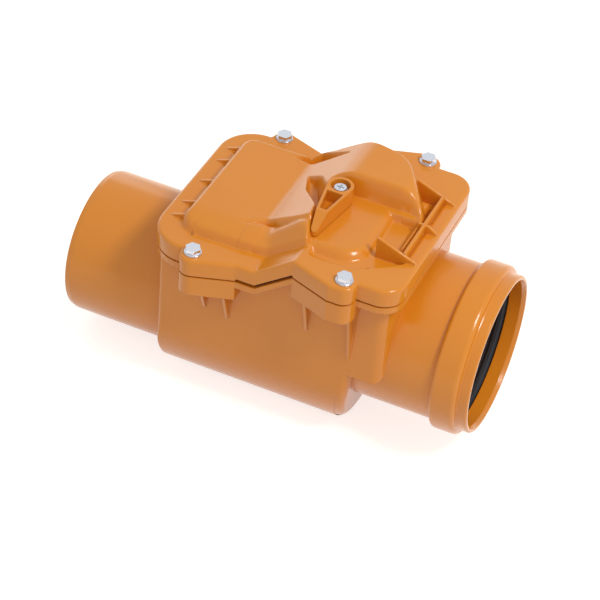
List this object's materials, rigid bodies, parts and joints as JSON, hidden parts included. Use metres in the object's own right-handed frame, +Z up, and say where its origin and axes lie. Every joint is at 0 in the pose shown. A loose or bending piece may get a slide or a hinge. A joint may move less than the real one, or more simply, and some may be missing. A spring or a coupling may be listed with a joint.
{
  "type": "backwater valve",
  "caption": "Plastic drain backwater valve with a hinged flap, a plain spigot, a rubber-ringed socket, a bolted stepped cover and a quarter-turn locking lever on top.",
  "frame": {"origin": "on the surface the valve stands on, under the middle of its length and width", "axes": "+X along the drain line up to the inlet socket, +Y across it, +Z up to the cover"},
  "size_m": [0.322, 0.172, 0.1878],
  "materials": {
    "moulding": "orange-brown PVC moulding with a soft sheen",
    "rubber": "black rubber",
    "zinc_steel": "bright zinc-plated steel",
    "stainless": "plain stainless steel",
    "grey_plastic": "grey glass-filled plastic"
  },
  "bodies": {
    "housing": {"body": "moulding", "inlet_seal": "rubber", "cover": "moulding", "cover_gasket": "rubber", "cover_bolts": "zinc_steel", "bolt_washers": "zinc_steel", "cover_nuts": "zinc_steel", "hinge_pin": "stainless", "hinge_pin_clips": "stainless"},
    "flap": {"flap_plate": "grey_plastic", "flap_seal": "rubber", "seal_clamp_disc": "stainless", "flap_screws": "stainless", "flap_hanger": "grey_plastic"},
    "lock": {"lever": "moulding", "lever_screw": "zinc_steel", "lever_washer": "zinc_steel", "spindle": "grey_plastic", "spindle_o_rings": "rubber", "locking_finger": "grey_plastic", "finger_screw": "stainless", "finger_washer": "stainless"}
  },
  "joints": [
    {"name": "flap_swing", "type": "hinge", "parent": "housing", "child": "flap", "pos_m": [0.07323, 0, 0.1493], "axis": [0, 1, 0], "range_deg": [0, 65]},
    {"name": "lock_turn", "type": "hinge", "parent": "housing", "child": "lock", "pos_m": [0.029, 0, 0.16], "axis": [0, 0, 1], "range_deg": [0, 90]}
  ]
}
